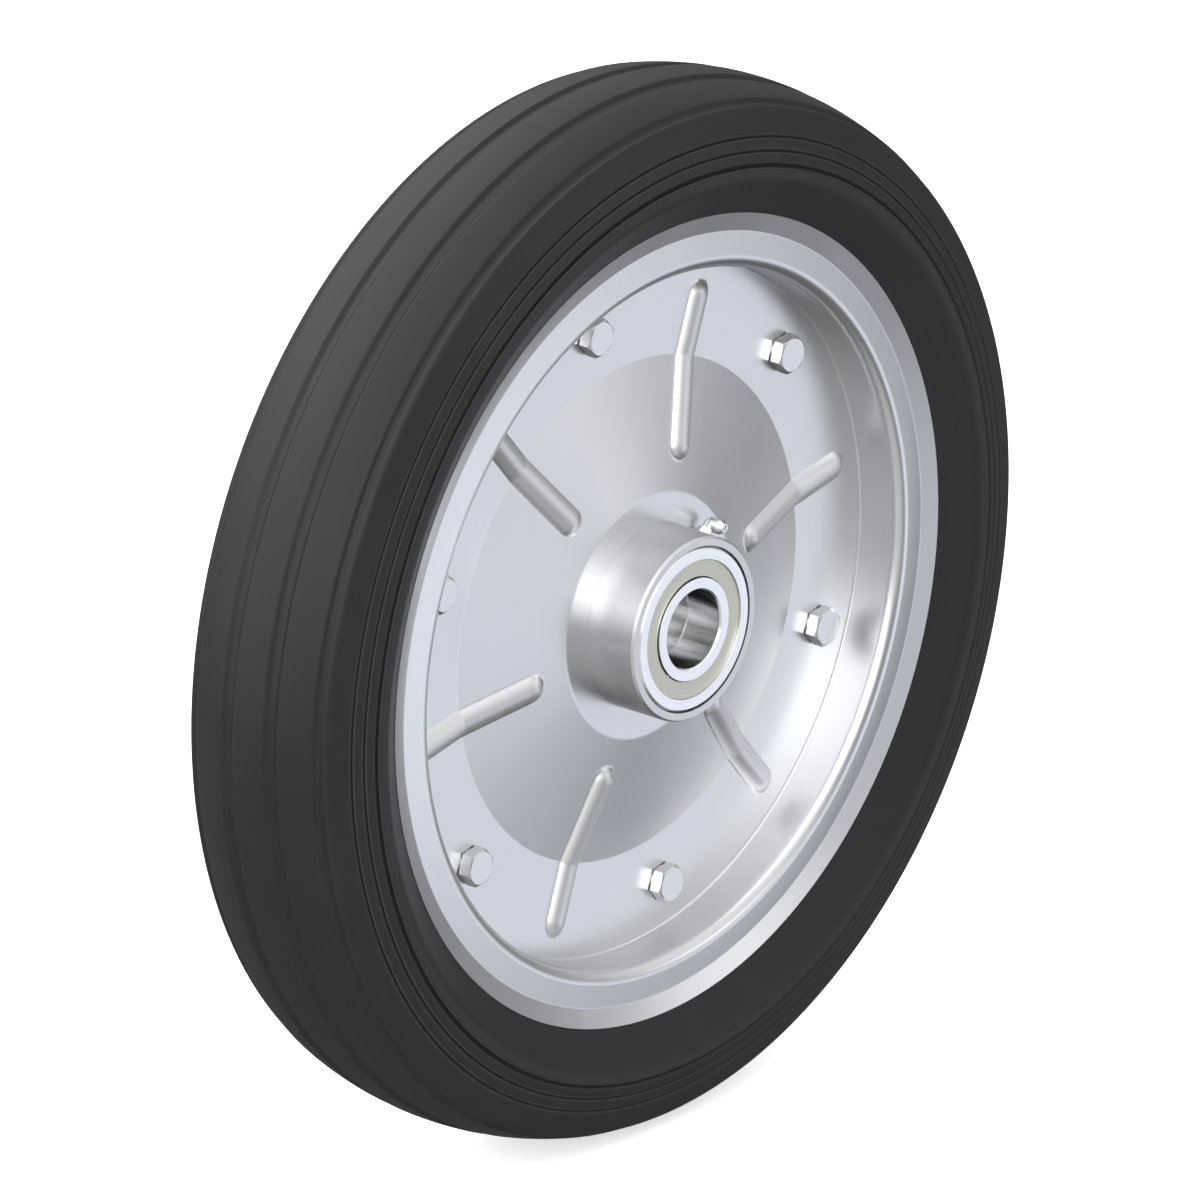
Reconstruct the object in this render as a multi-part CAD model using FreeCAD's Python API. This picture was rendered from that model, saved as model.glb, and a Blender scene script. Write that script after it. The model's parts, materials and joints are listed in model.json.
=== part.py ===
# Heavy duty wheel: a solid rubber tyre on a bolted two-piece rim of pressed steel,
# with a welded hub tube that turns on two deep groove ball bearings.
# Millimetres. The origin is the wheel's centre, the axle lies along Y, and +Z is up.
# The front face, with the bolt heads and the grease nipple, looks along -Y.
# Profiles are drawn in a half plane: X is the radius and Y the distance along the axle.
# Clock angles are in degrees, clockwise from the top as seen from the front.
import FreeCAD
import Part
import math
import os

# Tyre
tyre_diameter = 400.0
tyre_width = 81.0
tyre_section_height = 67.8
crown_radius = 90.0
shoulder_radius = 7.0
sidewall_lean = 20.0
bulge_radius = 5.0
bulge_height_over_rim = 17.5
groove_wall_angle = 60.0
groove_rounding = 2.2
inner_groove_offset = 10.2
inner_groove_floor = 4.1
inner_groove_depth = 2.0
outer_groove_offset = 29.6
outer_groove_floor = 1.8
outer_groove_depth = 1.4
sidewall_line_width = 1.5
sidewall_line_depth = 0.6
first_line_width = 2.0
first_line_depth = 1.2
line_deepest_share = 0.2
sidewall_line_pitch = 5.3
sidewall_line_count = 3
first_line_height = 0.6

# Rim halves, measured on the face that shows
sheet_thickness = 4.0
disc_flat_offset = 12.6
disc_flat_width = 36.5
hub_flat_width = 11.5
hub_flat_behind_bearing = 5.7
lip_width = 21.3
lip_valley_from_well = 14.1
lip_setback = 8.3
lip_valley_setback = 10.7
lip_edge_setback = 8.6
rubber_below_lip_edge = 0.3
soft_bend = 2.0
tight_bend = 0.6
valley_bend = 0.8
corner_bend = 0.9

# Stamped ribs
rib_count = 6
rib_clock = 20.0
rib_width = 10.6
rib_height = 3.0
rib_hollow_width = 7.6
rib_hollow_depth = 2.4
rib_from_hub_flat = 17.2
rib_from_well = 14.2

# Rim bolts, nuts and distance sleeves
bolt_count = 6
bolt_clock = -10.0
bolt_from_well = 17.2
bolt_diameter = 8.0
bolt_head_flats = 13.0
bolt_head_height = 5.3
bolt_washer_face = 0.5
bolt_end = 1.6
bolt_hole_clearance = 0.5
nut_height = 6.8
washer_diameter = 16.0
washer_thickness = 1.6
sleeve_wall = 3.0
hex_chamfer_angle = 30.0
hex_face_share = 0.95

# Hub tube
hub_length = 90.0
hub_wall = 4.0
hub_shoulder = 3.0
hub_chamfer = 0.8
hub_lead_in = 0.6
hub_lead_in_depth = 2.4
weld_leg = 3.0

# Bearings
axle_diameter = 30.0
bearing_diameter = 62.0
bearing_width = 16.0
bearing_chamfer = 0.6
ball_diameter = 9.525
ball_count = 9
race_clearance = 0.1
inner_race_height = 4.5
outer_race_height = 5.0
cage_clearance = 0.4
cage_back = 1.6
cage_reach = 3.0
pocket_clearance = 0.15
shield_thickness = 0.8
shield_recess = 0.8
shield_gap = 0.5
shield_edge_chamfer = 0.3
shield_seat_depth = 0.6
spacer_wall = 3.2
spacer_clearance = 0.2

# Grease nipple
nipple_clock = 46.0
nipple_behind_bearing = 0.8
nipple_thread_diameter = 6.0
nipple_thread_depth = 3.2
nipple_hex_flats = 6.6
nipple_hex_height = 3.2
nipple_body_diameter = 5.0
nipple_neck_diameter = 4.4
nipple_head_diameter = 5.8
nipple_tip_diameter = 3.4
nipple_neck_length = 2.6
nipple_head_length = 4.2
nipple_passage_diameter = 1.6
check_ball_diameter = 1.5
thread_clearance = 0.05

# Worked out from the sizes above
tyre_radius = tyre_diameter / 2
half_width = tyre_width / 2
well_radius = tyre_radius - tyre_section_height
wall_radius = well_radius + sheet_thickness
rim_edge_radius = well_radius + lip_width
lip_valley_radius = well_radius + lip_valley_from_well
lip_offset = half_width - lip_setback
lip_valley_offset = half_width - lip_valley_setback
lip_edge_offset = half_width - lip_edge_setback
disc_bend_radius = well_radius - disc_flat_width
bolt_circle_radius = well_radius - bolt_from_well
bearing_radius = bearing_diameter / 2
hub_radius = bearing_radius + hub_wall
hub_end = hub_length / 2
bearing_inner_end = hub_end - bearing_width
hub_flat_radius = hub_radius + hub_flat_width
hub_flat_offset = bearing_inner_end - hub_flat_behind_bearing
axle_radius = axle_diameter / 2
ball_radius = ball_diameter / 2
ball_pitch_radius = (axle_radius + bearing_radius) / 2
ball_plane = hub_end - bearing_width / 2
bolt_radius = bolt_diameter / 2
bolt_hole_radius = bolt_radius + bolt_hole_clearance
nipple_offset = bearing_inner_end - nipple_behind_bearing

origin = FreeCAD.Vector(0, 0, 0)
axle = FreeCAD.Vector(0, 1, 0)
across = FreeCAD.Vector(1, 0, 0)
profile_normal = FreeCAD.Vector(0, 0, 1)


def point(radius, along):
    """A point of the profile plane."""
    return FreeCAD.Vector(radius, along, 0)


def heading(angle):
    """The unit vector of the profile plane at an angle from the radius."""
    turn = math.radians(angle)
    return point(math.cos(turn), math.sin(turn))


def polygon_face(corners):
    """A flat face with straight sides."""
    return Part.Face(Part.makePolygon(corners + corners[:1]))


def turned(face):
    """A profile turned round the axle."""
    return face.revolve(origin, axle, 360)


def ring(inner_radius, outer_radius, start, end, chamfer=0.0):
    """A plain ring on the axle, with its outer corners broken."""
    corners = [
        point(inner_radius, start),
        point(outer_radius - chamfer, start),
        point(outer_radius, start + chamfer),
        point(outer_radius, end - chamfer),
        point(outer_radius - chamfer, end),
        point(inner_radius, end),
    ]
    if chamfer == 0:
        corners = [corners[0], corners[1], corners[4], corners[5]]
    return turned(polygon_face(corners))


def at_clock(shape, clock):
    """A copy of a shape drawn on the X side, turned to a clock angle."""
    copy = shape.copy()
    copy.rotate(origin, axle, clock - 90)
    return copy


def pattern(shape, count, first_clock):
    """Copies of a shape, evenly spaced round the axle."""
    return [at_clock(shape, first_clock + 360 * index / count) for index in range(count)]


def mirrored(shape):
    """The same piece on the front side of the wheel."""
    return shape.mirror(origin, axle)


def rounded_path(corners, radii):
    """Straight edges through the corners, with an arc of the given radius at each inner corner."""
    edges = []
    start = corners[0]
    for corner, radius, following in zip(corners[1:-1], radii, corners[2:]):
        back = (start - corner).normalize()
        ahead = (following - corner).normalize()
        half_angle = back.getAngle(ahead) / 2
        tangent = radius / math.tan(half_angle)
        middle = (back + ahead).normalize() * (radius / math.sin(half_angle) - radius)
        arc_start = corner + back * tangent
        arc_end = corner + ahead * tangent
        edges.append(Part.makeLine(start, arc_start))
        edges.append(Part.Arc(arc_start, corner + middle, arc_end).toShape())
        start = arc_end
    edges.append(Part.makeLine(start, corners[-1]))
    return edges


def moved_aside(corners, distance):
    """The corners of a path that runs beside another, to the right of its direction."""
    sides = []
    for start, end in zip(corners[:-1], corners[1:]):
        sides.append((end - start).normalize().cross(profile_normal))
    result = [corners[0] + sides[0] * distance]
    for before, after, corner in zip(sides[:-1], sides[1:], corners[1:-1]):
        between = before + after
        result.append(corner + between * (2 * distance / between.Length ** 2))
    result.append(corners[-1] + sides[-1] * distance)
    return result


def disc_path():
    """The face of a rim half that shows, from the hub out to the edge of the lip."""
    return [
        point(hub_radius, hub_flat_offset),
        point(hub_flat_radius, hub_flat_offset),
        point(disc_bend_radius, disc_flat_offset),
        point(well_radius, disc_flat_offset),
        point(well_radius, lip_offset),
        point(lip_valley_radius, lip_valley_offset),
        point(rim_edge_radius, lip_edge_offset),
    ]


def rim_sheet():
    """The pressed disc, well and lip of a rim half, before the ribs and holes."""
    front = disc_path()
    rear = moved_aside(front, sheet_thickness)
    rear[0].x = hub_radius
    outside = sheet_thickness
    front_radii = [soft_bend + outside, soft_bend, corner_bend, tight_bend + outside, valley_bend]
    rear_radii = [soft_bend, soft_bend + outside, corner_bend + outside, tight_bend, valley_bend + outside]
    outline = rounded_path(front, front_radii)
    outline.append(Part.makeLine(front[-1], rear[-1]))
    outline += rounded_path(rear, rear_radii)
    outline.append(Part.makeLine(rear[0], front[0]))
    return turned(Part.Face(Part.Wire(Part.__sortEdges__(outline))))


def bead(path, width, height, below=0.0):
    """A round bead that rises by its height from a line that lies below a bent path."""
    radius = (width ** 2 / 4 + height ** 2) / (2 * height)
    spine = moved_aside(path, below + radius - height)
    body = Part.makeSphere(radius, spine[0])
    for start, end in zip(spine[:-1], spine[1:]):
        run = Part.makeCylinder(radius, (end - start).Length, start, end - start)
        body = body.fuse([run, Part.makeSphere(radius, end)])
    return body.removeSplitter()


def rib_path():
    """The line of a rib on the disc, from the cone over the bend to the flat."""
    hub_corner = point(hub_flat_radius, hub_flat_offset)
    bend = point(disc_bend_radius, disc_flat_offset)
    inner_end = hub_corner + (bend - hub_corner).normalize() * rib_from_hub_flat
    outer_end = point(well_radius - rib_from_well, disc_flat_offset)
    return [inner_end, bend, outer_end]


def space_behind_disc():
    """All that lies behind the middle of the disc's sheet."""
    middle = moved_aside(disc_path()[:4], sheet_thickness / 2)
    return turned(polygon_face(middle + [point(well_radius, -hub_end), point(hub_radius, -hub_end)]))


def make_rim_half(sheet):
    """A rim half with its stamped ribs, hollow at the back, and its bolt holes."""
    crest = bead(rib_path(), rib_width, rib_height).cut(space_behind_disc())
    hollow = bead(rib_path(), rib_hollow_width, rib_hollow_depth, sheet_thickness)
    hole = Part.makeCylinder(bolt_hole_radius, hub_end, point(bolt_circle_radius, 0), axle)
    body = sheet.fuse(pattern(crest, rib_count, rib_clock))
    cuts = pattern(hollow, rib_count, rib_clock) + pattern(hole, bolt_count, bolt_clock)
    return body.cut(cuts).removeSplitter()


def tangent_point(start, centre, radius):
    """Where a line from a point touches the outer side of a circle."""
    reach = centre - start
    swing = math.asin(radius / reach.Length)
    length = math.sqrt(reach.Length ** 2 - radius ** 2)
    angle = math.atan2(reach.y, reach.x) + swing
    return start + point(math.cos(angle), math.sin(angle)) * length


def tyre_outline():
    """The rear half of the tyre's section, from the crown to the middle of the rim."""
    crown_centre = point(tyre_radius - crown_radius, 0)
    bulge_centre = point(rim_edge_radius + bulge_height_over_rim, half_width - bulge_radius)
    out_of_wall = heading(90 - sidewall_lean)
    up_wall = heading(-sidewall_lean)
    wall_start = bulge_centre + out_of_wall * bulge_radius
    reach = wall_start - out_of_wall * shoulder_radius - crown_centre
    along = -reach.dot(up_wall)
    along += math.sqrt(along ** 2 - reach.Length ** 2 + (crown_radius - shoulder_radius) ** 2)
    shoulder_centre = crown_centre + reach + up_wall * along
    wall_end = shoulder_centre + out_of_wall * shoulder_radius
    out_of_shoulder = (shoulder_centre - crown_centre).normalize()
    crown_end = crown_centre + out_of_shoulder * crown_radius
    shoulder_middle = shoulder_centre + (out_of_shoulder + out_of_wall).normalize() * shoulder_radius
    crown_middle = crown_centre + (out_of_shoulder + across).normalize() * crown_radius
    lip_foot = point(rim_edge_radius, lip_edge_offset - rubber_below_lip_edge)
    dish_end = tangent_point(lip_foot, bulge_centre, bulge_radius)
    inside_lip = lip_foot - (dish_end - lip_foot).normalize() * sheet_thickness
    inside_valley = point(lip_valley_radius, lip_valley_offset - sheet_thickness / 2)
    inside_wall = point(wall_radius, lip_offset - sheet_thickness / 2)
    return [
        Part.Arc(point(tyre_radius, 0), crown_middle, crown_end).toShape(),
        Part.Arc(crown_end, shoulder_middle, wall_end).toShape(),
        Part.makeLine(wall_end, wall_start),
        Part.Arc(wall_start, bulge_centre + axle * bulge_radius, dish_end).toShape(),
        Part.makeLine(dish_end, inside_lip),
        Part.makeLine(inside_lip, inside_valley),
        Part.makeLine(inside_valley, inside_wall),
        Part.makeLine(inside_wall, point(wall_radius, 0)),
    ]


def crown_height(along):
    """The radius of the tread at a distance from the middle plane."""
    return tyre_radius - crown_radius + math.sqrt(crown_radius ** 2 - along ** 2)


def tread_groove(offset, floor_width, depth):
    """The space of a groove round the tread."""
    mouth = crown_height(offset)
    half_floor = floor_width / 2
    flare = 2 * depth / math.tan(math.radians(groove_wall_angle))
    return turned(polygon_face([
        point(mouth - depth, offset - half_floor),
        point(mouth - depth, offset + half_floor),
        point(mouth + depth, offset + half_floor + flare),
        point(mouth + depth, offset - half_floor - flare),
    ]))


def sidewall_line(index):
    """The space of a thin groove round the sidewall, steep on the tread side and gentle on the other."""
    bulge_centre = point(rim_edge_radius + bulge_height_over_rim, half_width - bulge_radius)
    out_of_wall = heading(90 - sidewall_lean)
    up_wall = heading(-sidewall_lean)
    distance = first_line_height + index * sidewall_line_pitch
    mouth = bulge_centre + out_of_wall * bulge_radius + up_wall * distance
    width = sidewall_line_width if index else first_line_width
    rise = out_of_wall * (sidewall_line_depth if index else first_line_depth)
    steep_side = up_wall * (2 * width * line_deepest_share)
    gentle_side = up_wall * (2 * width * (1 - line_deepest_share))
    return turned(polygon_face([mouth - rise, mouth + rise + steep_side, mouth + rise - gentle_side]))


def on_crown(place):
    """Whether a point lies on the round of the tread."""
    return math.isclose(math.hypot(place.x, place.z), crown_height(place.y), rel_tol=1e-6)


def groove_corners(tyre):
    """The edges where the walls of the tread grooves meet the crown."""
    corners = []
    for edge in tyre.Edges:
        surfaces = [face.Surface for face in tyre.ancestorsOfType(edge, Part.Face)]
        walls = [surface for surface in surfaces if isinstance(surface, Part.Cone)]
        if walls and on_crown(edge.Vertexes[0].Point):
            corners.append(edge)
    return corners


def make_tyre(sheet):
    """The solid rubber tyre, moulded to fit between the lips of the rim halves."""
    half = tyre_outline()
    outline = half + [edge.mirror(origin, axle) for edge in half]
    blank = turned(Part.Face(Part.Wire(Part.__sortEdges__(outline))))
    cuts = [sheet]
    cuts.append(tread_groove(inner_groove_offset, inner_groove_floor, inner_groove_depth))
    cuts.append(tread_groove(outer_groove_offset, outer_groove_floor, outer_groove_depth))
    cuts += [sidewall_line(index) for index in range(sidewall_line_count)]
    cuts += [mirrored(cut) for cut in cuts]
    tyre = blank.cut(cuts).removeSplitter()
    return tyre.makeFillet(groove_rounding, groove_corners(tyre))


def hexagon(flats, height, chamfer_both=False):
    """A hexagonal block on the axle from Y = 0, with its corners chamfered at the far end."""
    corner_radius = flats / math.sqrt(3)
    face_radius = flats / 2 * hex_face_share
    drop = (corner_radius - face_radius) * math.tan(math.radians(hex_chamfer_angle))
    corner = Part.Vertex(point(corner_radius, 0))
    corners = [copy.Point for copy in pattern(corner, 6, 0)]
    prism = polygon_face(corners).extrude(axle * height)
    near_radius = face_radius if chamfer_both else corner_radius
    near_drop = drop if chamfer_both else 0
    envelope = [
        point(0, 0),
        point(near_radius, 0),
        point(corner_radius, near_drop),
        point(corner_radius, height - drop),
        point(face_radius, height),
        point(0, height),
    ]
    if not chamfer_both:
        envelope.pop(2)
    return prism.common(turned(polygon_face(envelope)))


def moved(shape, offset):
    """A copy of a shape, shifted."""
    copy = shape.copy()
    copy.translate(offset)
    return copy


def make_rim_bolts():
    """Hexagon bolts with their heads on the front disc."""
    washer_end = disc_flat_offset + washer_thickness
    shank_end = washer_end + nut_height + bolt_end
    hexagon_height = bolt_head_height - bolt_washer_face
    hexagon_start = axle * -(disc_flat_offset + bolt_washer_face)
    head = moved(mirrored(hexagon(bolt_head_flats, hexagon_height)), hexagon_start)
    washer_face_radius = bolt_head_flats / 2 * hex_face_share
    washer_face = Part.makeCylinder(washer_face_radius, bolt_washer_face, hexagon_start, axle)
    shank = Part.makeCylinder(bolt_radius, shank_end + disc_flat_offset, axle * -disc_flat_offset, axle)
    bolt = moved(head.fuse([washer_face, shank]).removeSplitter(), across * bolt_circle_radius)
    return pattern(bolt, bolt_count, bolt_clock)


def make_rim_nuts():
    """Hexagon nuts on the rear side."""
    hole = Part.makeCylinder(bolt_radius + thread_clearance, nut_height, origin, axle)
    nut = hexagon(bolt_head_flats, nut_height, chamfer_both=True).cut(hole)
    seat = point(bolt_circle_radius, disc_flat_offset + washer_thickness)
    return pattern(moved(nut, seat), bolt_count, bolt_clock)


def make_nut_washers():
    """Flat washers between the nuts and the rear disc."""
    washer = ring(bolt_radius + bolt_hole_clearance / 2, washer_diameter / 2, 0, washer_thickness)
    return pattern(moved(washer, point(bolt_circle_radius, disc_flat_offset)), bolt_count, bolt_clock)


def make_distance_sleeves():
    """Sleeves round the bolts that keep the two discs apart."""
    sleeve_end = disc_flat_offset - sheet_thickness
    sleeve = ring(bolt_hole_radius, bolt_hole_radius + sleeve_wall, -sleeve_end, sleeve_end)
    return pattern(moved(sleeve, across * bolt_circle_radius), bolt_count, bolt_clock)


def nipple_hole(radius, depth_radius):
    """A drilling into the front of the hub, at the nipple."""
    start = point(depth_radius, -nipple_offset)
    return at_clock(Part.makeCylinder(radius, hub_radius, start, across), nipple_clock)


def make_hub_tube():
    """The hub tube with a bearing seat and a lead-in at each end, and the drilling for the nipple."""
    relief_radius = bearing_radius - hub_shoulder
    half = polygon_face([
        point(relief_radius, 0),
        point(hub_radius, 0),
        point(hub_radius, hub_end - hub_chamfer),
        point(hub_radius - hub_chamfer, hub_end),
        point(bearing_radius + hub_lead_in, hub_end),
        point(bearing_radius + hub_lead_in, hub_end - hub_lead_in_depth),
        point(bearing_radius, hub_end - hub_lead_in_depth - hub_lead_in),
        point(bearing_radius, bearing_inner_end),
        point(relief_radius, bearing_inner_end),
    ])
    tube = turned(half).fuse(mirrored(turned(half))).removeSplitter()
    thread = nipple_hole(nipple_thread_diameter / 2, hub_radius - nipple_thread_depth)
    passage = nipple_hole(nipple_passage_diameter / 2, 0)
    return tube.cut([thread, passage])


def make_weld_bead():
    """The weld between the hub tube and the front disc, on the side of the tyre where it is out of sight."""
    disc_back = hub_flat_offset - sheet_thickness
    return turned(polygon_face([
        point(hub_radius, -disc_back),
        point(hub_radius + weld_leg, -disc_back),
        point(hub_radius, weld_leg - disc_back),
    ]))


def race_groove():
    """The space of the ball race."""
    return Part.makeTorus(ball_pitch_radius, ball_radius + race_clearance, axle * ball_plane, axle)


def make_outer_ring():
    """The outer ring of a bearing, with the seat of its shield."""
    shoulder = bearing_radius - outer_race_height
    body = ring(shoulder, bearing_radius, bearing_inner_end, hub_end, bearing_chamfer)
    seat_start = hub_end - shield_recess - shield_thickness
    mouth = ring(axle_radius, shoulder + shield_seat_depth, seat_start, hub_end)
    return body.cut([race_groove(), mouth])


def make_inner_ring():
    """The inner ring of a bearing."""
    shoulder = axle_radius + inner_race_height
    corners = [
        point(axle_radius + bearing_chamfer, bearing_inner_end),
        point(shoulder, bearing_inner_end),
        point(shoulder, hub_end),
        point(axle_radius + bearing_chamfer, hub_end),
        point(axle_radius, hub_end - bearing_chamfer),
        point(axle_radius, bearing_inner_end + bearing_chamfer),
    ]
    return turned(polygon_face(corners)).cut(race_groove())


def make_balls():
    """The balls of a bearing."""
    return pattern(Part.makeSphere(ball_radius, point(ball_pitch_radius, ball_plane)), ball_count, 0)


def make_cage():
    """The moulded snap cage that keeps the balls apart, open to the outside."""
    inner_radius = axle_radius + inner_race_height + cage_clearance
    outer_radius = bearing_radius - outer_race_height - cage_clearance
    start = ball_plane - ball_radius - cage_back
    crown = ring(inner_radius, outer_radius, start, ball_plane + cage_reach)
    pocket = Part.makeCylinder(ball_radius + pocket_clearance, bearing_radius, point(0, ball_plane), across)
    return crown.cut(pattern(pocket, ball_count, 0))


def make_shield():
    """The flat shield in the outer face of a bearing."""
    inner_radius = axle_radius + inner_race_height + shield_gap
    outer_radius = bearing_radius - outer_race_height + shield_seat_depth
    face = hub_end - shield_recess
    return ring(inner_radius, outer_radius, face - shield_thickness, face, shield_edge_chamfer)


def make_bearing_spacer():
    """The tube between the two inner rings."""
    bore = axle_radius + spacer_clearance
    return ring(bore, bore + spacer_wall, -bearing_inner_end, bearing_inner_end)


def nipple_axis_point(height):
    """A point on the radial axis of the nipple, at a height above the hub."""
    return point(hub_radius + height, -nipple_offset)


def make_grease_nipple():
    """An elbow grease nipple, screwed into the hub with its head to the front."""
    elbow_height = nipple_hex_height + nipple_body_diameter / 2
    elbow = nipple_axis_point(elbow_height)
    thread_length = nipple_thread_depth
    thread_radius = nipple_thread_diameter / 2 - thread_clearance
    thread = Part.makeCylinder(thread_radius, thread_length, nipple_axis_point(-thread_length), across)
    base = hexagon(nipple_hex_flats, nipple_hex_height)
    base.rotate(origin, profile_normal, -90)
    base.translate(nipple_axis_point(0))
    body = Part.makeCylinder(nipple_body_diameter / 2, elbow_height, nipple_axis_point(0), across)
    knee = Part.makeSphere(nipple_body_diameter / 2, elbow)
    neck_radius = nipple_neck_diameter / 2
    head_start = nipple_neck_length
    head_end = nipple_neck_length + nipple_head_length
    head_radius = nipple_head_diameter / 2
    head = turned(polygon_face([
        point(0, 0),
        point(neck_radius, 0),
        point(neck_radius, head_start),
        point(head_radius, head_start + head_radius - neck_radius),
        point(head_radius, head_start + nipple_head_length / 2),
        point(nipple_tip_diameter / 2, head_end),
        point(0, head_end),
    ]))
    head = moved(mirrored(head), elbow)
    bore_radius = nipple_passage_diameter / 2
    mouth = elbow - axle * (head_end - check_ball_diameter / 2)
    passage_length = elbow_height + thread_length
    passage = Part.makeCylinder(bore_radius, passage_length, nipple_axis_point(-thread_length), across)
    channel = Part.makeCylinder(bore_radius, head_end, elbow, -axle)
    nipple = thread.fuse([base, body, knee, head]).removeSplitter()
    nipple = nipple.cut([passage, channel])
    ball = Part.makeSphere(check_ball_diameter / 2, mouth)
    return at_clock(nipple, nipple_clock), at_clock(ball, nipple_clock)


def save(name, shape):
    """One file for each piece or group of like pieces."""
    solids = shape if isinstance(shape, list) else [shape]
    parts = [solid for item in solids for solid in item.Solids]
    result = parts[0] if len(parts) == 1 else Part.makeCompound(parts)
    result.exportStep(os.path.join("parts", name + ".step"))


os.makedirs("parts", exist_ok=True)

rim_blank = rim_sheet()
rear_rim = make_rim_half(rim_blank)
save("tyre", make_tyre(rim_blank))
save("rear_rim", rear_rim)
save("front_rim", mirrored(rear_rim))
save("hub_tube", make_hub_tube())
save("hub_weld", make_weld_bead())
save("rim_bolts", make_rim_bolts())
save("rim_nuts", make_rim_nuts())
save("nut_washers", make_nut_washers())
save("distance_sleeves", make_distance_sleeves())
save("bearing_spacer", make_bearing_spacer())

bearing_pieces = {
    "outer_ring": [make_outer_ring()],
    "inner_ring": [make_inner_ring()],
    "balls": make_balls(),
    "cage": [make_cage()],
    "shield": [make_shield()],
}
for piece, shapes in bearing_pieces.items():
    save("rear_bearing_" + piece, shapes)
    save("front_bearing_" + piece, [mirrored(shape) for shape in shapes])

grease_nipple, check_ball = make_grease_nipple()
save("grease_nipple", grease_nipple)
save("nipple_check_ball", check_ball)
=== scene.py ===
# %% [markdown]
# # Heavy duty wheel
# This lesson dresses a heavy duty wheel: a solid rubber tyre on a pressed, zinc plated rim,
# with a welded hub that turns on two ball bearings.
# The CAD model comes in first as a fixed frame, in metres, with the axle along Y and +Z up.
# The front, with the bolt heads and the grease nipple, looks along -Y.
# The record says which finish each piece has, so the pieces are sorted by it straight away.

# %% Load the CAD model as the frame
import bpy
import json
import math
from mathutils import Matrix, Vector


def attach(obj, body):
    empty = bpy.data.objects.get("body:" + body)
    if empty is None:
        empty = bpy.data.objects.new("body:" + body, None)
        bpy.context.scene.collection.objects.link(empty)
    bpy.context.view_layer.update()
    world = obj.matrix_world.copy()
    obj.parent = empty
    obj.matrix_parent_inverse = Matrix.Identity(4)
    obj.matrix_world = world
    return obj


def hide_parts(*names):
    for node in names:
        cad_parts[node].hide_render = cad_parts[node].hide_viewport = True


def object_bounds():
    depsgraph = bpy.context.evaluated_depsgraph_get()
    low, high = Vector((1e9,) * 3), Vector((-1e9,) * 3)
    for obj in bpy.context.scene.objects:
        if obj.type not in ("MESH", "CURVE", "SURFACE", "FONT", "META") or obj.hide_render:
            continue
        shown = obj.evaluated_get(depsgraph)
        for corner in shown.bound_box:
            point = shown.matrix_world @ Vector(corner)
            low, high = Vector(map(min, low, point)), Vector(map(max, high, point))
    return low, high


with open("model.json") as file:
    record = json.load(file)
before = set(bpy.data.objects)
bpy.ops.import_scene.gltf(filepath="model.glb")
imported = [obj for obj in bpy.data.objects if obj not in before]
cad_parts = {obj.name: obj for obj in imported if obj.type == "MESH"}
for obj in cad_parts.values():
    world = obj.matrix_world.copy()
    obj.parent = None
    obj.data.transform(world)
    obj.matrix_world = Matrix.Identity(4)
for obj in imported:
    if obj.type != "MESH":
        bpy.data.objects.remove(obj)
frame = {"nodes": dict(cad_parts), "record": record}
cad_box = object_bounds()
nodes = frame["nodes"]
MM = 0.001
pieces_by_slot = {}
for row in frame["record"]["subparts"]:
    pieces_by_slot.setdefault(row["material_slot"], []).append(row["node"])
for slot, names in pieces_by_slot.items():
    print(slot, "is on", ", ".join(names))

# %% [markdown]
# Every finish here is a node material, so a few small helpers come first.
# Colours are easiest to write as the hex values a paint program shows, but shaders work with linear light,
# so one function converts them along the sRGB curve.
# Another adds any shader node, gives it its settings, and fills its inputs with values or with links.
# Patterns get their scale from the size of the mark on the real thing, in millimetres.

# %% Colours, nodes and scales


def linear(colour):
    """An sRGB hex colour as linear red, green, blue and alpha."""
    channels = [int(colour[start:start + 2], 16) / 255 for start in (1, 3, 5)]
    bright = [c / 12.92 if c <= 0.04045 else ((c + 0.055) / 1.055) ** 2.4 for c in channels]
    return (*bright, 1.0)


def add_node(owner, kind, inputs=(), **settings):
    """One node of a material or of the world, with its settings, and its inputs as values or as links."""
    tree = owner.node_tree
    node = tree.nodes.new(kind)
    for name, value in settings.items():
        setattr(node, name, value)
    for name, value in dict(inputs).items():
        if isinstance(value, bpy.types.NodeSocket):
            tree.links.new(value, node.inputs[name])
        else:
            node.inputs[name].default_value = value
    return node


def per_metre(size):
    """The scale of a pattern whose marks are this many millimetres across."""
    return 1 / (size * MM)


print("mid grey in linear light:", round(linear("#808080")[0], 3))

# %% [markdown]
# A finish starts as a plain material with the constants that are the same all over its surface.
# Its patterns are joined to the shader afterwards, each spread over the range that the real surface shows.
# Last, the finish goes onto every CAD piece that the record gives it to.

# %% Helpers for the finishes
SHADER = "Principled BSDF"


def new_finish(name, **constants):
    """A node material with constants on its shader, and the place on the object for its patterns."""
    material = bpy.data.materials.new(name)
    material.use_nodes = True
    shader = material.node_tree.nodes[SHADER]
    for socket, value in constants.items():
        shader.inputs[socket.replace("_", " ")].default_value = value
    place = add_node(material, "ShaderNodeTexCoord").outputs["Object"]
    return material, place


def between(material, pattern, low, high):
    """A pattern from 0 to 1, spread over a range of numbers or of colours."""
    if isinstance(low, str):
        blend = add_node(
            material, "ShaderNodeMix",
            {"Factor": pattern, "A": linear(low), "B": linear(high)}, data_type="RGBA")
        return blend.outputs["Result"]
    spread = add_node(material, "ShaderNodeMapRange", {"Value": pattern, "To Min": low, "To Max": high})
    return spread.outputs["Result"]


def wire(material, **links):
    """Join patterns to the sockets of the material's surface shader."""
    shader = material.node_tree.nodes[SHADER]
    for socket, output in links.items():
        material.node_tree.links.new(output, shader.inputs[socket.replace("_", " ")])


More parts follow.
